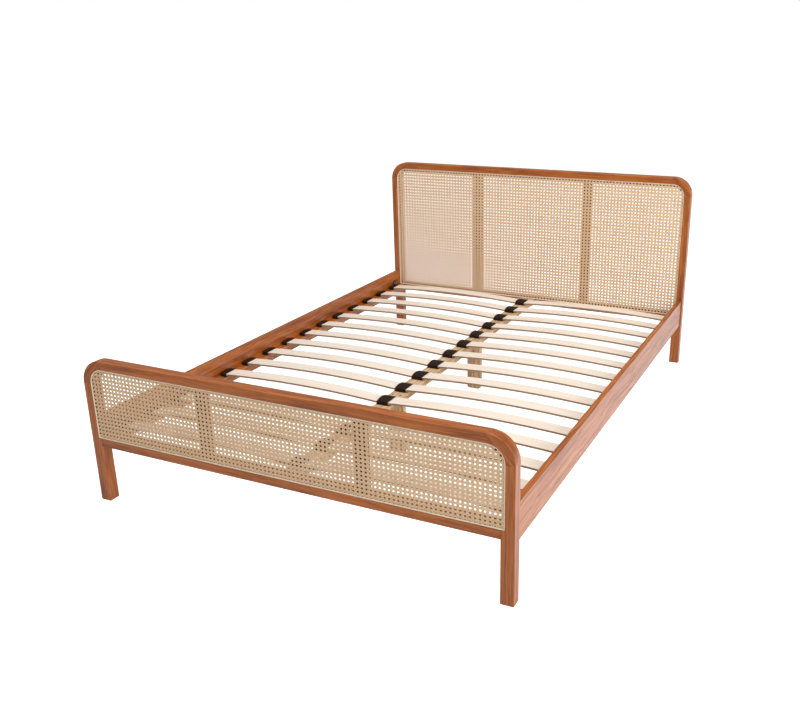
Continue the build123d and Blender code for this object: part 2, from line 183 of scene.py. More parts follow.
class CaneBedFinishSettings(PropertyGroup):
    """Colours of the bed's finishes."""

    stain_light: colour("Stain, light", "Light streaks of the stained frame", (0.52, 0.150, 0.023))
    stain_dark: colour("Stain, dark", "Dark streaks of the stained frame", (0.215, 0.047, 0.006))
    # Painted shade for the wood right behind the cane sheets
    seat_painted_shade: colour("Cane seat", "Shaded wood that the cane lies on", (0.13, 0.036, 0.008))
    slat_light: colour("Slat face, light", "Light streaks of the slats", (0.93, 0.84, 0.76))
    slat_dark: colour("Slat face, dark", "Dark streaks of the slats", (0.80, 0.65, 0.50))
    slat_edge: colour("Slat edge", "Long edges of the slats", (0.24, 0.155, 0.095))
    support_light: colour("Support, light", "Light streaks of the centre rail", (0.80, 0.57, 0.34))
    support_dark: colour("Support, dark", "Dark streaks of the centre rail", (0.38, 0.20, 0.09))
    cane_light: colour("Cane, light", "Palest cane strands", (1.0, 0.77, 0.51))
    cane_dark: colour("Cane, dark", "Darkest cane strands", (0.71, 0.43, 0.21))
    # Painted shade on the strands' side edges and ends
    cane_edge_shade: colour("Cane edge", "Side edges of the strands", (0.42, 0.20, 0.08))
    spline: colour("Spline", "Reed splines round the cane", (1.0, 0.86, 0.68))
    plastic: colour("Holder plastic", "Moulded slat holders", (0.015, 0.007, 0.004))
    zinc: colour("Zinc", "Zinc plated fittings", (0.55, 0.55, 0.56))
    bronze: colour("Bronze", "Bronze plated wood screws", (0.38, 0.20, 0.09))


class CaneBedStageSettings(PropertyGroup):
    """Camera and lamps."""

    camera_place: FloatVectorProperty(
        name="Camera place",
        description="Where the camera stands",
        subtype="TRANSLATION",
        size=3,
        default=(1.458, -2.9537, 1.4445),
    )
    camera_yaw: FloatProperty(
        name="Camera yaw", description="Turn to the left", subtype="ANGLE", default=math.radians(25.54)
    )
    camera_pitch: FloatProperty(
        name="Camera pitch", description="Tilt upwards", subtype="ANGLE", default=math.radians(-19.81)
    )
    camera_roll: FloatProperty(
        name="Camera roll", description="Roll about the view", subtype="ANGLE", default=math.radians(-0.69)
    )
    focal_length: FloatProperty(
        name="Focal length", description="On a sensor 36 mm wide", default=40.77, min=10.0, max=200.0
    )
    shift_across: FloatProperty(name="Shift across", description="Lens shift across", default=-0.05996)
    shift_up: FloatProperty(name="Shift up", description="Lens shift upwards", default=0.00206)
    fill_strength: FloatProperty(
        name="Fill", description="Strength of the white surroundings", default=0.36, min=0.0
    )
    key_power: FloatProperty(name="Key", description="Power of the lamp overhead", default=135.0, min=0.0)
    side_power: FloatProperty(
        name="Side", description="Power of the lamp at the right", default=112.0, min=0.0
    )


class CaneBedSettings(PropertyGroup):
    """All settings of the bed."""

    weave: PointerProperty(type=CaneBedWeaveSettings)
    finish: PointerProperty(type=CaneBedFinishSettings)
    stage: PointerProperty(type=CaneBedStageSettings)


def node(tree, kind, sockets=None, **settings):
    """Adds a shader node, sets its settings, and sets or links its input sockets."""
    made = tree.nodes.new("ShaderNode" + kind)
    for name, value in settings.items():
        setattr(made, name, value)
    for name, value in (sockets or {}).items():
        if isinstance(value, bpy.types.NodeSocket):
            tree.links.new(value, made.inputs[name])
        else:
            made.inputs[name].default_value = value
    return made


def opaque(rgb):
    """A colour with full alpha."""
    return (*rgb, 1.0)


def mix(tree, factor, low, high):
    """The output of a colour mix from low to high."""
    made = node(tree, "Mix", data_type="RGBA")
    for index, value in ((0, factor), (6, low), (7, high)):
        if isinstance(value, bpy.types.NodeSocket):
            tree.links.new(value, made.inputs[index])
        else:
            made.inputs[index].default_value = value
    return made.outputs[2]


def maths(tree, operation, first, second=0.0, clamp=False):
    """The output of one arithmetic step."""
    return node(tree, "Math", {0: first, 1: second}, operation=operation, use_clamp=clamp).outputs[0]


def spread(tree, value, low, high):
    """A value brought from the span low to high on to 0 to 1, and held there."""
    sockets = {"Value": value, "From Min": low, "From Max": high}
    return node(tree, "MapRange", sockets, clamp=True).outputs["Result"]


def new_group(name, inputs, outputs):
    """A node group with named sockets, and its input and output nodes."""
    group = bpy.data.node_groups.new(name, "ShaderNodeTree")
    for label, kind in inputs:
        group.interface.new_socket(name=label, in_out="INPUT", socket_type="NodeSocket" + kind)
    for label, kind in outputs:
        group.interface.new_socket(name=label, in_out="OUTPUT", socket_type="NodeSocket" + kind)
    return group, group.nodes.new("NodeGroupInput"), group.nodes.new("NodeGroupOutput")


def grain_group():
    """Wood grain: stretched noise makes bands, streaks, fibres and pores along the X axis.

    Colour runs from Light to Dark with all four, and Height is low in fibres and pores."""
    name = "bed_wood_grain"
    if name in bpy.data.node_groups:
        return bpy.data.node_groups[name]
    inputs = (
        ("Place", "Vector"),
        ("Light", "Color"),
        ("Dark", "Color"),
        ("Streak Contrast", "Float"),
        ("Pore Depth", "Float"),
    )
    outputs = (("Color", "Color"), ("Roughness", "Float"), ("Height", "Float"))
    tree, given, result = new_group(name, inputs, outputs)
    place = given.outputs["Place"]
    wander = node(tree, "TexNoise", {"Vector": place, "Scale": 2.2, "Detail": 2.0})
    bent = node(
        tree,
        "VectorMath",
        {0: wander.outputs["Color"], 1: (0.0, 0.05, 0.05)},
        operation="MULTIPLY",
    )
    bent = node(tree, "VectorMath", {0: place, 1: bent.outputs[0]}, operation="ADD").outputs[0]

    def stretched(along, across, detail):
        """Noise with so many waves per metre along and across the grain."""
        scaled = node(
            tree, "VectorMath", {0: bent, 1: (along, across, across)}, operation="MULTIPLY"
        )
        sockets = {"Vector": scaled.outputs[0], "Scale": 1.0, "Detail": detail, "Roughness": 0.6}
        return node(tree, "TexNoise", sockets).outputs["Fac"]

    bands = spread(tree, stretched(1.6, 34.0, 2.0), 0.34, 0.66)
    streaks = spread(tree, stretched(3.0, 125.0, 4.0), 0.32, 0.68)
    fibres = spread(tree, stretched(14.0, 480.0, 2.0), 0.30, 0.70)
    pores = spread(tree, stretched(55.0, 1500.0, 1.0), 0.60, 0.70)
    mass = maths(tree, "MULTIPLY", bands, BAND_SHARE)
    mass = maths(tree, "ADD", mass, maths(tree, "MULTIPLY", streaks, STREAK_SHARE))
    mass = maths(tree, "ADD", mass, maths(tree, "MULTIPLY", fibres, FIBRE_SHARE))
    centred = maths(tree, "SUBTRACT", mass, 0.5)
    contrast = maths(tree, "MULTIPLY", centred, given.outputs["Streak Contrast"])
    factor = maths(tree, "ADD", contrast, 0.5, clamp=True)
    factor = maths(tree, "ADD", factor, maths(tree, "MULTIPLY", pores, PORE_SHARE), clamp=True)
    tree.links.new(mix(tree, factor, given.outputs["Light"], given.outputs["Dark"]), result.inputs["Color"])
    rough = maths(tree, "ADD", maths(tree, "MULTIPLY", factor, 0.12), 0.40)
    tree.links.new(rough, result.inputs["Roughness"])
    deep = maths(tree, "MULTIPLY", pores, given.outputs["Pore Depth"])
    low = maths(tree, "ADD", deep, maths(tree, "MULTIPLY", fibres, 0.25))
    tree.links.new(maths(tree, "SUBTRACT", 1.0, low), result.inputs["Height"])
    return tree


def facing_group():
    """How much a surface faces along one axis, from 0 to 1, from its normal."""
    name = "bed_facing"
    if name in bpy.data.node_groups:
        return bpy.data.node_groups[name]
    tree, given, result = new_group(name, (("Axis", "Vector"),), (("Mask", "Float"),))
    normal = node(tree, "NewGeometry").outputs["Normal"]
    dot = node(tree, "VectorMath", {0: normal, 1: given.outputs["Axis"]}, operation="DOT_PRODUCT")
    size = maths(tree, "ABSOLUTE", dot.outputs["Value"])
    tree.links.new(spread(tree, size, 0.55, 0.85), result.inputs["Mask"])
    return tree


def new_material(name):
    """An empty material with its Principled shader joined to the output."""
    material = bpy.data.materials.new(name)
    material.use_nodes = True
    tree = material.node_tree
    tree.nodes.clear()
    output = node(tree, "OutputMaterial")
    shader = node(tree, "BsdfPrincipled")
    tree.links.new(shader.outputs["BSDF"], output.inputs["Surface"])
    return material, tree, shader


def placed(tree, offset, turn):
    """Object coordinates, moved by an offset and then turned."""
    coordinate = node(tree, "TexCoord").outputs["Object"]
    moved = node(tree, "VectorMath", {0: coordinate, 1: offset}, operation="ADD").outputs[0]
    sockets = {"Vector": moved, "Rotation": turn}
    return node(tree, "Mapping", sockets, vector_type="POINT").outputs["Vector"]


def grained(tree, place, light, dark, contrast, pore_depth):
    """The wood grain group with one wood's own values."""
    made = tree.nodes.new("ShaderNodeGroup")
    made.node_tree = grain_group()
    tree.links.new(place, made.inputs["Place"])
    made.inputs["Light"].default_value = opaque(light)
    made.inputs["Dark"].default_value = opaque(dark)
    made.inputs["Streak Contrast"].default_value = contrast
    made.inputs["Pore Depth"].default_value = pore_depth
    return made


def bumped(tree, shader, height, distance, strength):
    """Feeds a height through a bump node into the shader's normal."""
    sockets = {"Height": height, "Distance": distance, "Strength": strength}
    bump = node(tree, "Bump", sockets)
    tree.links.new(bump.outputs["Normal"], shader.inputs["Normal"])


def facing(tree, axis):
    """A mask of the faces that look along one axis, either way."""
    made = tree.nodes.new("ShaderNodeGroup")
    made.node_tree = facing_group()
    made.inputs["Axis"].default_value = axis
    return made.outputs["Mask"]


def seat_shade_mask(tree, name):
    """A mask of the frame's wood right behind a cane sheet, which gets little light; this wood gets a
    painted shade.
    """
    if not name.startswith(("head_", "foot_")):
        return 0.0
    sheet_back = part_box(name[:4] + "_cane_sheet")[1][1]
    depth = node(tree, "SeparateXYZ", {"Vector": node(tree, "TexCoord").outputs["Object"]}).outputs["Y"]
    away = maths(tree, "ABSOLUTE", maths(tree, "SUBTRACT", depth, sheet_back))
    near = maths(tree, "LESS_THAN", away, SEAT_DEPTH)
    return maths(tree, "MULTIPLY", near, facing(tree, (0.0, 1.0, 0.0)))


def stained_wood(name, grain, offset, finish):
    """Satin orange brown stain under a thin clear coat, with a painted shade, matte and without coat, on
    the wood right behind the cane.
    """
    material, tree, shader = new_material("stain_" + name)
    place = placed(tree, offset, GRAIN_TURNS[grain])
    wood = grained(tree, place, finish.stain_light, finish.stain_dark, 1.7, 0.8)
    # Painted shade: the wood right behind the cane takes a dark colour, full roughness and no coat
    seat = seat_shade_mask(tree, name)
    shade = mix(tree, seat, wood.outputs["Color"], opaque(finish.seat_painted_shade))
    tree.links.new(shade, shader.inputs["Base Color"])
    rough = maths(tree, "ADD", wood.outputs["Roughness"], seat, clamp=True)
    tree.links.new(rough, shader.inputs["Roughness"])
    coat = maths(tree, "MULTIPLY", maths(tree, "SUBTRACT", 1.0, seat), 0.4)
    tree.links.new(coat, shader.inputs["Coat Weight"])
    shader.inputs["Coat Roughness"].default_value = 0.25
    shader.inputs["Specular IOR Level"].default_value = 0.25
    bumped(tree, shader, wood.outputs["Height"], 0.15 * MM, 0.35)
    return material


def slat_wood(name, offset, finish):
    """Pale bent plywood, with its darker plies along the long edges."""
    material, tree, shader = new_material(name)
    place = placed(tree, offset, GRAIN_TURNS["X"])
    wood = grained(tree, place, finish.slat_light, finish.slat_dark, 0.8, 0.4)
    heights = node(tree, "SeparateXYZ", {"Vector": node(tree, "TexCoord").outputs["Object"]})
    plies = maths(tree, "MULTIPLY", heights.outputs["Z"], math.tau / PLY_PERIOD)
    plies = maths(tree, "MULTIPLY", maths(tree, "ADD", maths(tree, "SINE", plies), 1.0), PLY_CONTRAST)
    pale = [channel * PLY_PALE for channel in finish.slat_edge]
    edge = mix(tree, plies, opaque(finish.slat_edge), opaque(pale))
    face = mix(tree, facing(tree, (0.0, 1.0, 0.0)), wood.outputs["Color"], edge)
    tree.links.new(face, shader.inputs["Base Color"])
    shader.inputs["Roughness"].default_value = 0.55
    bumped(tree, shader, wood.outputs["Height"], 0.1 * MM, 0.3)
    return material


def support_wood(name, grain, offset, finish):
    """Plain softwood with a clear figure, for the centre rail and its legs."""
    material, tree, shader = new_material(name)
    place = placed(tree, offset, GRAIN_TURNS[grain])
    wood = grained(tree, place, finish.support_light, finish.support_dark, 1.9, 0.3)
    tree.links.new(wood.outputs["Color"], shader.inputs["Base Color"])
    shader.inputs["Roughness"].default_value = 0.6
    bumped(tree, shader, wood.outputs["Height"], 0.12 * MM, 0.3)
    return material


def cane_material(name, finish):
    """Glossy natural cane: a tint for each strand, stains along it, and a painted shade on the side edges,
    as between the strands.

    The strand map runs along a strand in metres, and is 1 on its sides and ends."""
    material, tree, shader = new_material(name)
    tint = node(tree, "Attribute", attribute_name="tint").outputs["Fac"]
    along = node(tree, "UVMap", uv_map="strand").outputs["UV"]
    place = node(tree, "TexCoord").outputs["Object"]
    fibre = node(tree, "TexNoise", {"Vector": place, "Scale": 900.0, "Detail": 2.0})
    stain_scale = node(tree, "VectorMath", {0: along, 1: (7.0, 0.0, 1.0)}, operation="MULTIPLY")
    stain = node(tree, "TexNoise", {"Vector": stain_scale.outputs[0], "Scale": 1.0, "Detail": 1.0})
    factor = maths(tree, "MULTIPLY", tint, 0.35)
    factor = maths(tree, "ADD", factor, spread(tree, fibre.outputs["Fac"], 0.4, 1.0))
    factor = maths(tree, "ADD", factor, spread(tree, stain.outputs["Fac"], 0.45, 1.2), clamp=True)
    shade = mix(tree, factor, opaque(finish.cane_light), opaque(finish.cane_dark))
    # Painted shade: where the strand map is 1, on each strand's sides and ends, the colour goes to the dark
    # edge colour
    side = node(tree, "SeparateXYZ", {"Vector": along}).outputs["Y"]
    shade = mix(tree, side, shade, opaque(finish.cane_edge_shade))
    tree.links.new(shade, shader.inputs["Base Color"])
    shader.inputs["Roughness"].default_value = 0.42
    bumped(tree, shader, fibre.outputs["Fac"], 0.05 * MM, 0.3)
    return material


def spline_material(name, finish):
    """Pale round reed that holds the cane in its groove."""
    material, tree, shader = new_material(name)
    place = placed(tree, (0.0, 0.0, 0.0), GRAIN_TURNS["X"])
    mottle = node(tree, "TexNoise", {"Vector": place, "Scale": 90.0, "Detail": 3.0}).outputs["Fac"]
    dark = [channel * 0.75 for channel in finish.spline]
    shade = mix(tree, spread(tree, mottle, 0.4, 0.9), opaque(finish.spline), opaque(dark))
    tree.links.new(shade, shader.inputs["Base Color"])
    shader.inputs["Roughness"].default_value = 0.45
    bumped(tree, shader, mottle, 0.1 * MM, 0.2)
    return material


def plastic_material(name, finish):
    """Brown-black moulded plastic with a fine grit."""
    material, tree, shader = new_material(name)
    place = placed(tree, (0.0, 0.0, 0.0), GRAIN_TURNS["X"])
    grit = node(tree, "TexNoise", {"Vector": place, "Scale": 1400.0, "Detail": 2.0}).outputs["Fac"]
    cloud = node(tree, "TexNoise", {"Vector": place, "Scale": 25.0, "Detail": 2.0}).outputs["Fac"]
    pale = [channel * 1.8 for channel in finish.plastic]
    shade = mix(tree, cloud, opaque(finish.plastic), opaque(pale))
    tree.links.new(shade, shader.inputs["Base Color"])
    shader.inputs["Specular IOR Level"].default_value = 0.12
    rough = maths(tree, "ADD", maths(tree, "MULTIPLY", grit, 0.15), 0.50)
    tree.links.new(rough, shader.inputs["Roughness"])
    bumped(tree, shader, grit, 0.1 * MM, 0.4)
    return material


def plated_material(name, plating):
    """Plated steel, cloudy and a little rough."""
    material, tree, shader = new_material(name)
    place = placed(tree, (0.0, 0.0, 0.0), GRAIN_TURNS["X"])
    cloud = node(tree, "TexNoise", {"Vector": place, "Scale": 260.0, "Detail": 3.0}).outputs["Fac"]
    dull = [channel * 0.7 for channel in plating]
    shade = mix(tree, spread(tree, cloud, 0.3, 0.8), opaque(plating), opaque(dull))
    tree.links.new(shade, shader.inputs["Base Color"])
    rough = maths(tree, "ADD", maths(tree, "MULTIPLY", cloud, 0.25), 0.22)
    tree.links.new(rough, shader.inputs["Roughness"])
    shader.inputs["Metallic"].default_value = 1.0
    bumped(tree, shader, cloud, 0.05 * MM, 0.2)
    return material


def give(node_name, material):
    """Puts one material on a carried-over piece."""
    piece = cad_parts[node_name]
    piece.data.materials.clear()
    piece.data.materials.append(material)


def named(*words):
    """The names of the carried-over pieces that hold any of these words."""
    return [name for name in sorted(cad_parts) if any(word in name for word in words)]


def piece_offset(index):
    """A shift of the pattern that makes each piece a different board."""
    return tuple(step * index for step in BOARD_STEP)


def sheet_outline(low, high, radius):
    """The sheet's half width, bottom, top and upper corner radius."""
    return (high[0] - low[0]) / 2, low[2], high[2], radius


def inside(outline, across, up):
    """Whether points lie in a rectangle whose two upper corners are round."""
    half, bottom, top, radius = outline
    reach = np.abs(across)
    box = (reach <= half) & (up >= bottom) & (up <= top)
    over = np.maximum(reach - (half - radius), 0.0)
    rise = np.maximum(up - (top - radius), 0.0)
    return box & (np.hypot(over, rise) <= radius)


def clip_line(outline, start, direction, reach):
    """The first and last distance along a line that lie inside the outline."""
    steps = np.linspace(-reach, reach, LINE_POINTS)
    held = steps[inside(outline, start[0] + direction[0] * steps, start[1] + direction[1] * steps)]
    if len(held) < 2:
        return None
    return held[0], held[-1]


def wave(places, knots, heights, period):
    """A height that repeats with a period, straight between its knots."""
    return np.interp(places % period, knots, heights, period=period)


def ribbon_run(distances, first, last):
    """The knots of a strand between its two ends, ends included."""
    between = distances[(distances > first + END_ROOM) & (distances < last - END_ROOM)]
    return np.concatenate(([first], between, [last]))


class Ribbons:
    """Collects strands as closed four-sided ribbons, for one mesh.

    A strand's section is a flat bar whose front is narrower than its back. The
    section is carried along the strand's line, and both ends are closed."""

    def __init__(self, width, thickness):
        self.width = width
        self.thickness = thickness
        self.points = []
        self.faces = []
        self.marks = []
        self.tints = []
        self.count = 0

    def add(self, across, up, depth, side, along, tint):
        """Adds one strand from arrays of its knots and its sideways direction."""
        section_side = np.array([-BACK_HALF, BACK_HALF, FRONT_HALF, -FRONT_HALF]) * self.width
        section_out = np.array([0.5, 0.5, -0.5, -0.5]) * self.thickness
        knots = len(across)
        grid = np.empty((knots, 4, 3))
        grid[:, :, 0] = across[:, None] + side[0] * section_side
        grid[:, :, 1] = depth[:, None] + section_out
        grid[:, :, 2] = up[:, None] + side[1] * section_side
        self.points.append(grid.reshape(-1, 3))
        ring = np.arange(4)
        ahead = (ring + 1) % 4
        rows = self.count + 4 * np.arange(knots - 1)[:, None]
        walls = np.stack((rows + ring, rows + ahead, rows + 4 + ahead, rows + 4 + ring), axis=-1)
        far = self.count + 4 * (knots - 1)
        ends = np.array([self.count + ring[::-1], far + ring])
        self.faces.append(walls.reshape(-1, 4))
        self.faces.append(ends)
        mark = np.empty((knots - 1, 4, 4, 2))
        mark[:, :, :2, 0] = along[:-1, None, None]
        mark[:, :, 2:, 0] = along[1:, None, None]
        # The side walls get 1 in the strand map, which the cane material uses for a painted shade on the
        # strand edges
        mark[..., 1] = np.array([0.0, 1.0, 0.0, 1.0])[:, None]
        self.marks.append(mark.reshape(-1, 2))
        self.marks.append(np.array([(along[0], 1.0)] * 4 + [(along[-1], 1.0)] * 4))
        self.tints.append(np.full(knots * 4, tint))
        self.count += knots * 4

    def build(self, name, material):
        """Makes the object, with its strand map and its tints."""
        points = np.concatenate(self.points)
        faces = np.concatenate(self.faces)
        mesh = bpy.data.meshes.new(name)
        mesh.vertices.add(len(points))
        mesh.vertices.foreach_set("co", points.astype(np.float32).ravel())
        mesh.loops.add(faces.size)
        mesh.loops.foreach_set("vertex_index", faces.astype(np.int32).ravel())
        mesh.polygons.add(len(faces))
        mesh.polygons.foreach_set("loop_start", np.arange(0, faces.size, 4, dtype=np.int32))
        mesh.polygons.foreach_set("use_smooth", np.ones(len(faces), dtype=bool))
        mesh.update(calc_edges=True)
        strand_map = mesh.uv_layers.new(name="strand")
        marks = np.concatenate(self.marks)
        strand_map.data.foreach_set("uv", marks.astype(np.float32).ravel())
        tint = mesh.attributes.new("tint", "FLOAT", "POINT")
        tint.data.foreach_set("value", np.concatenate(self.tints).astype(np.float32))
        mesh.materials.append(material)
        piece = bpy.data.objects.new(name, mesh)
        bpy.context.scene.collection.objects.link(piece)
        return piece


class Weave:
    """One sheet of open six-way cane.

    Holes lie on a grid. Pairs of upright and level strands run half a pitch
    beside them, and single slanting strands cross midway between two holes."""

    def __init__(self, outline, depth, pitch, first_hole, strand_width, sizes):
        self.outline = outline
        self.depth = depth
        self.pitch = pitch
        self.column_zero = first_hole[0]
        self.row_zero = outline[1] + first_hole[1]
        self.strand_width = strand_width
        self.sizes = sizes
        self.random = np.random.default_rng(RANDOM_SEED)

    def ribbons(self):
        """An empty collection of strands."""
        return Ribbons(self.strand_width, self.sizes.strand_thickness)

    def tint(self):
        """A random tint for one strand."""
        return float(np.clip(0.5 + self.random.normal(0.0, self.sizes.tint_spread / 2), 0.0, 1.0))

    def lattice(self, zero, pitch, low, high):
        """The numbers of the grid lines between two places."""
        return range(math.floor((low - zero) / pitch) - 1, math.ceil((high - zero) / pitch) + 2)

    def straight(self, upright, half_of):
        """Upright or level pairs: all, or only the even or odd ones, so that a piece stays small.

        A strand lies flat between crossings, and rises over one strand of each
        crossing pair and dips under the other."""
        half, bottom, top, _ = self.outline
        spans = ((-half, half), (bottom, top))
        zeros = (self.column_zero, self.row_zero)
        line_axis = 0 if upright else 1
        run_axis = 1 - line_axis
        pitch = self.pitch[run_axis]
        lines = self.lattice(zeros[line_axis], self.pitch[line_axis], *spans[line_axis])
        runs = self.lattice(zeros[run_axis], pitch, *spans[run_axis])
        gap = (self.strand_width + self.sizes.pair_gap) / 2
        lift = self.sizes.strand_thickness * PAIR_LIFT
        flat = gap + PAIR_SHOULDER * self.strand_width
        knots = np.array([-flat, -gap, gap, flat])
        crossings = zeros[run_axis] + pitch * (np.array(list(runs)) + 0.5)
        distances = np.sort((crossings[:, None] + knots).ravel())
        collected = self.ribbons()
        for line in lines:
            centre = zeros[line_axis] + self.pitch[line_axis] * (line + 0.5)
            for member in (-1, 1):
                place = centre + member * gap
                start = (place, 0.0) if upright else (0.0, place)
                direction = (0.0, 1.0) if upright else (1.0, 0.0)
                ends = clip_line(self.outline, start, direction, PAIR_REACH)
                tint = self.tint()
                if ends is None or (half_of is not None and (line % 2 == 0) != half_of):
                    continue
                run = ribbon_run(distances, *ends)
                rise = member * lift * (1 if upright else -1)
                depth = self.depth + wave(
                    run - zeros[run_axis],
                    pitch / 2 + knots,
                    rise * np.array([0.0, 1.0, -1.0, 0.0]),
                    pitch,
                )
                still = np.full(len(run), place)
                across, up = (still, run) if upright else (run, still)
                side = (1.0, 0.0) if upright else (0.0, -1.0)
                collected.add(across, up, depth, side, run, tint)
        return collected

    def slanting(self, rising):
        """Single strands up to the right, or down to the right.

        The rising ones pass behind the upright pairs and in front of the level
        pairs, and the falling ones do the opposite."""
        half, bottom, top, _ = self.outline
        pitch_across, pitch_up = self.pitch
        slope = pitch_up / pitch_across * (1 if rising else -1)
        cell = math.hypot(pitch_across, pitch_up)
        direction = (pitch_across / cell, slope * pitch_across / cell)
        lift = self.sizes.strand_thickness * SLANT_LIFT * (1 if rising else -1)
        shoulder = SLANT_SHOULDER * cell
        knots = np.array([0.0, shoulder, cell / 2 - shoulder, cell / 2 + shoulder, cell - shoulder])
        heights = lift * np.array([1.0, 1.0, -1.0, -1.0, 1.0])
        first = -math.ceil(half / pitch_across + (top - bottom) / pitch_up) - 2
        collected = self.ribbons()
        for number in range(first, -first):
            across_zero = self.column_zero + pitch_across * (number + 0.5)
            start = (across_zero, self.row_zero)
            ends = clip_line(self.outline, start, direction, SLANT_REACH)
            tint = self.tint()
            if ends is None or ends[1] - ends[0] < SHORTEST_SLANT:
                continue
            steps = np.arange(math.floor(ends[0] / cell), math.ceil(ends[1] / cell) + 1)
            distances = np.sort((steps[:, None] * cell + knots[1:]).ravel())
            run = ribbon_run(distances, *ends)
            depth = self.depth + wave(run, knots, heights, cell)
            across = start[0] + direction[0] * run
            up = start[1] + direction[1] * run
            side = (direction[1], -direction[0])
            collected.add(across, up, depth, side, run, tint)
        return collected


def weave_pieces(weave, halves):
    """Every piece of one sheet's weave: name ending and strands."""
    pieces = []
    for upright, word in ((True, "uprights"), (False, "levels")):
        for half_of in halves:
            ending = {None: "", True: "_even", False: "_odd"}[half_of]
            pieces.append((word + ending, weave.straight(upright, half_of)))
    pieces.append(("rising_slants", weave.slanting(True)))
    pieces.append(("falling_slants", weave.slanting(False)))
    return pieces


class CANEBED_OT_frame_wood(Operator):
    """Stains the posts, corners, rails, stiles and ledgers"""

    bl_idname = "canebed.frame_wood"
    bl_label = "Stain the frame"

    def execute(self, context):
        finish = context.scene.cane_bed.finish
        for index, (name, grain) in enumerate(WOOD_GRAIN.items()):
            give(name, stained_wood(name, grain, piece_offset(index), finish))
        return {"FINISHED"}


class CANEBED_OT_slats(Operator):
    """Gives each row of slats its pale plywood"""

    bl_idname = "canebed.slats"
    bl_label = "Finish the slats"

    def execute(self, context):
        finish = context.scene.cane_bed.finish
        for index, name in enumerate(named("slat_row")):
            give(name, slat_wood("ply_" + name, piece_offset(index), finish))
        return {"FINISHED"}


class CANEBED_OT_supports(Operator):
    """Gives the centre rail and its legs their softwood"""

    bl_idname = "canebed.supports"
    bl_label = "Finish the supports"

    def execute(self, context):
        finish = context.scene.cane_bed.finish
        grains = {"centre_rail": "Y", "centre_leg_foot": "Z", "centre_leg_head": "Z"}
        for index, (name, grain) in enumerate(grains.items()):
            give(name, support_wood("softwood_" + name, grain, piece_offset(index), finish))
        dowel = support_wood("softwood_dowels", "Z", (0.0, 0.0, 0.0), finish)
        for name in named("dowels"):
            give(name, dowel)
        return {"FINISHED"}


class CANEBED_OT_holders(Operator):
    """Gives the slat holders their black plastic"""

    bl_idname = "canebed.holders"
    bl_label = "Finish the slat holders"

    def execute(self, context):
        plastic = plastic_material("holder_plastic", context.scene.cane_bed.finish)
        for name in named("slat_holders"):
            give(name, plastic)
        return {"FINISHED"}


class CANEBED_OT_fittings(Operator):
    """Gives bolts, nuts, washers, inserts and hangers zinc, and wood screws bronze"""

    bl_idname = "canebed.fittings"
    bl_label = "Finish the fittings"

    def execute(self, context):
        finish = context.scene.cane_bed.finish
        zinc = plated_material("zinc_plate", finish.zinc)
        for name in named("bolt", "washers", "inserts", "hanger"):
            give(name, zinc)
        bronze = plated_material("bronze_plate", finish.bronze)
        for name in named("ledger_screws", "leg_screws"):
            give(name, bronze)
        return {"FINISHED"}


class CANEBED_OT_splines(Operator):
    """Gives the two splines their reed"""

    bl_idname = "canebed.splines"
    bl_label = "Finish the splines"

    def execute(self, context):
        reed = spline_material("spline_reed", context.scene.cane_bed.finish)
        for name in named("cane_spline"):
            give(name, reed)
        return {"FINISHED"}


class CANEBED_OT_weave(Operator):
    """Weaves the cane of the head and the foot"""

    bl_idname = "canebed.weave"
    bl_label = "Weave the cane"

    def execute(self, context):
        sizes = context.scene.cane_bed.weave
        cane = cane_material("woven_cane", context.scene.cane_bed.finish)
        foot_pitch = (sizes.foot_pitch_across, sizes.foot_pitch_up)
        foot_hole = (sizes.foot_shift, sizes.foot_first_row)
        head_pitch = (sizes.head_pitch_across, sizes.head_pitch_up)
        head_hole = (sizes.head_shift, sizes.head_first_row)
        sheets = (
            ("foot", foot_pitch, foot_hole, sizes.foot_strand_width, (None,)),
            ("head", head_pitch, head_hole, sizes.head_strand_width, (True, False)),
        )
        for end, pitch, first_hole, strand_width, halves in sheets:
            sheet = f"{end}_cane_sheet"
            low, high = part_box(sheet)
            outline = sheet_outline(low, high, sizes.corner_radius)
            depth = (low[1] + high[1]) / 2
            weave = Weave(outline, depth, pitch, first_hole, strand_width, sizes)
            for ending, strands in weave_pieces(weave, halves):
                piece = strands.build(f"{end}_cane_{ending}", cane)
                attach(piece, "root")
                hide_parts(sheet)
        return {"FINISHED"}


def is_seen(tree):
    """1 for rays from the camera, and for what shows through something clear."""
    path = node(tree, "LightPath")
    return maths(tree, "MAXIMUM", path.outputs["Is Camera Ray"], path.outputs["Is Transmission Ray"])


def painted_sheen_mask(tree):
    """1 where gloss shows the floor under or behind the bed, and 0 in front of it; there the floor glows
    only in reflections, a painted sheen on the bed's sides.
    """
    path = node(tree, "LightPath")
    places = node(tree, "SeparateXYZ", {"Vector": node(tree, "TexCoord").outputs["Object"]})
    behind = spread(tree, places.outputs["Y"], GLOW_START, GLOW_FULL)
    return maths(tree, "MULTIPLY", path.outputs["Is Glossy Ray"], behind)


def floor_material():
    """White floor that lifts to the white of the background but keeps a shadow; under and behind the bed it
    also glows in reflections, a painted sheen on the bed's sides.
    """
    material = bpy.data.materials.new("studio_floor")
    material.use_nodes = True
    tree = material.node_tree
    tree.nodes.clear()
    output = node(tree, "OutputMaterial")
    paper = node(tree, "BsdfDiffuse", {"Color": opaque([FLOOR_WHITE] * 3)})
    # Painted reflection: the floor glows in gloss only under and behind the bed
    shown = maths(tree, "MAXIMUM", is_seen(tree), painted_sheen_mask(tree))
    glow = maths(tree, "MULTIPLY", shown, FLOOR_GLOW)
    lift = node(tree, "Emission", {"Color": (1.0, 1.0, 1.0, 1.0), "Strength": glow})
    both = node(tree, "AddShader", {0: paper.outputs[0], 1: lift.outputs[0]})
    tree.links.new(both.outputs[0], output.inputs["Surface"])
    return material


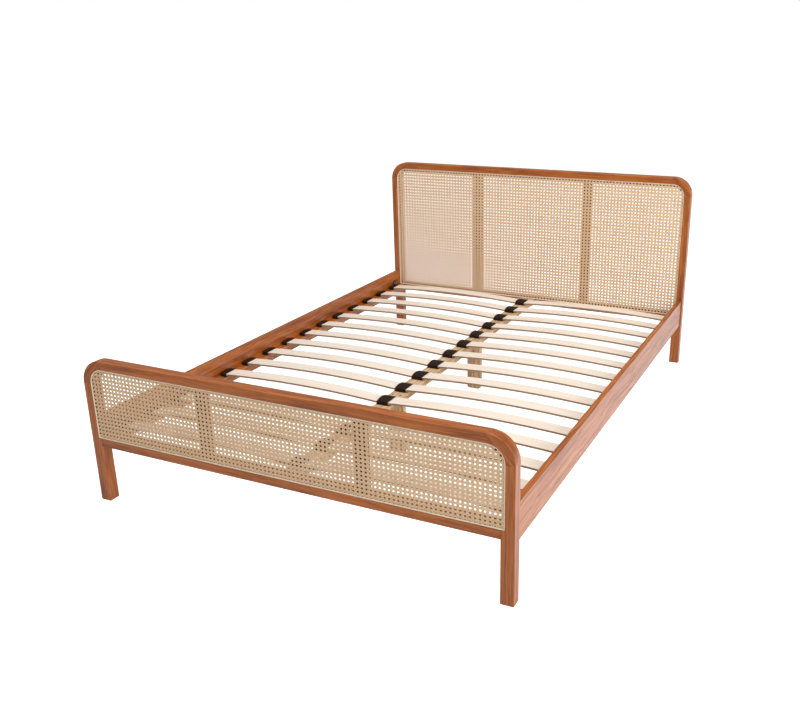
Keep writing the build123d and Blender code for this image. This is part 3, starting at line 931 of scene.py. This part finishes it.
def studio_world(fill_strength):
    """White surroundings: full white where seen, softer as a light."""
    world = bpy.data.worlds.new("studio_white")
    world.use_nodes = True
    tree = world.node_tree
    tree.nodes.clear()
    output = tree.nodes.new("ShaderNodeOutputWorld")
    strength = node(tree, "MapRange", {"Value": is_seen(tree), "To Min": fill_strength})
    sockets = {"Color": (1.0, 1.0, 1.0, 1.0), "Strength": strength.outputs["Result"]}
    back = node(tree, "Background", sockets)
    tree.links.new(back.outputs[0], output.inputs["Surface"])
    return world


def area_lamp(name, place, aim, size, power):
    """A square soft lamp at a place, turned to its aim."""
    lamp = bpy.data.lights.new(name, "AREA")
    lamp.size = size
    lamp.energy = power
    holder = bpy.data.objects.new(name, lamp)
    holder.location = place
    holder.rotation_euler = (Vector(aim) - Vector(place)).to_track_quat("-Z", "Y").to_euler()
    bpy.context.scene.collection.objects.link(holder)


def camera_matrix(stage):
    """The camera's place and turn, from its yaw, pitch and roll."""
    yaw, pitch, roll = stage.camera_yaw, stage.camera_pitch, stage.camera_roll
    level = math.cos(pitch)
    ahead = Vector((-math.sin(yaw) * level, math.cos(yaw) * level, math.sin(pitch)))
    right = ahead.cross(Vector((0.0, 0.0, 1.0))).normalized()
    above = right.cross(ahead)
    rolled_right = right * math.cos(roll) + above * math.sin(roll)
    rolled_above = above * math.cos(roll) - right * math.sin(roll)
    matrix = Matrix((rolled_right, rolled_above, -ahead)).transposed().to_4x4()
    matrix.translation = Vector(stage.camera_place)
    return matrix


class CANEBED_OT_stage(Operator):
    """Sets the floor, the white surroundings, the lamps and the camera"""

    bl_idname = "canebed.stage"
    bl_label = "Set the stage"

    def execute(self, context):
        stage = context.scene.cane_bed.stage
        scene = context.scene
        scene.view_settings.view_transform = "Standard"
        scene.world = studio_world(stage.fill_strength)

        turns = ((-1, -1), (1, -1), (1, 1), (-1, 1))
        corners = [(x * FLOOR_HALF, y * FLOOR_HALF, 0.0) for x, y in turns]
        mesh = bpy.data.meshes.new("studio_floor")
        mesh.from_pydata(corners, [], [(0, 1, 2, 3)])
        mesh.materials.append(floor_material())
        floor = bpy.data.objects.new("studio_floor", mesh)
        scene.collection.objects.link(floor)

        area_lamp("key_lamp", *KEY_LAMP, stage.key_power)
        area_lamp("side_lamp", *SIDE_LAMP, stage.side_power)

        lens = bpy.data.cameras.new("photo_camera")
        lens.sensor_fit = "HORIZONTAL"
        lens.sensor_width = SENSOR_WIDTH
        lens.lens = stage.focal_length
        lens.shift_x = stage.shift_across
        lens.shift_y = stage.shift_up
        camera = bpy.data.objects.new("photo_camera", lens)
        camera.matrix_world = camera_matrix(stage)
        scene.collection.objects.link(camera)
        scene.camera = camera
        return {"FINISHED"}


STEPS = (
    CANEBED_OT_frame_wood,
    CANEBED_OT_slats,
    CANEBED_OT_supports,
    CANEBED_OT_holders,
    CANEBED_OT_fittings,
    CANEBED_OT_splines,
    CANEBED_OT_weave,
    CANEBED_OT_stage,
)


class CANEBED_PT_panel(Panel):
    """Lists the steps and the settings of the bed"""

    bl_idname = "CANEBED_PT_panel"
    bl_label = "Cane Bed"
    bl_space_type = "VIEW_3D"
    bl_region_type = "UI"
    bl_category = "Cane Bed"

    def draw(self, context):
        settings = context.scene.cane_bed
        for step in STEPS:
            self.layout.operator(step.bl_idname)
        for group in (settings.weave, settings.finish, settings.stage):
            box = self.layout.box()
            for name in group.__annotations__:
                box.prop(group, name)


CLASSES = (
    CaneBedWeaveSettings,
    CaneBedFinishSettings,
    CaneBedStageSettings,
    CaneBedSettings,
    *STEPS,
    CANEBED_PT_panel,
)


def register():
    """Registers the classes and the settings."""
    for item in CLASSES:
        bpy.utils.register_class(item)
    bpy.types.Scene.cane_bed = PointerProperty(type=CaneBedSettings)


def unregister():
    """Takes the settings and the classes away."""
    del bpy.types.Scene.cane_bed
    for item in reversed(CLASSES):
        bpy.utils.unregister_class(item)


def main():
    """Makes the whole scene."""
    register()
    bpy.ops.canebed.frame_wood()
    bpy.ops.canebed.slats()
    bpy.ops.canebed.supports()
    bpy.ops.canebed.holders()
    bpy.ops.canebed.fittings()
    bpy.ops.canebed.splines()
    bpy.ops.canebed.weave()
    bpy.ops.canebed.stage()


if __name__ == "__main__":
    main()
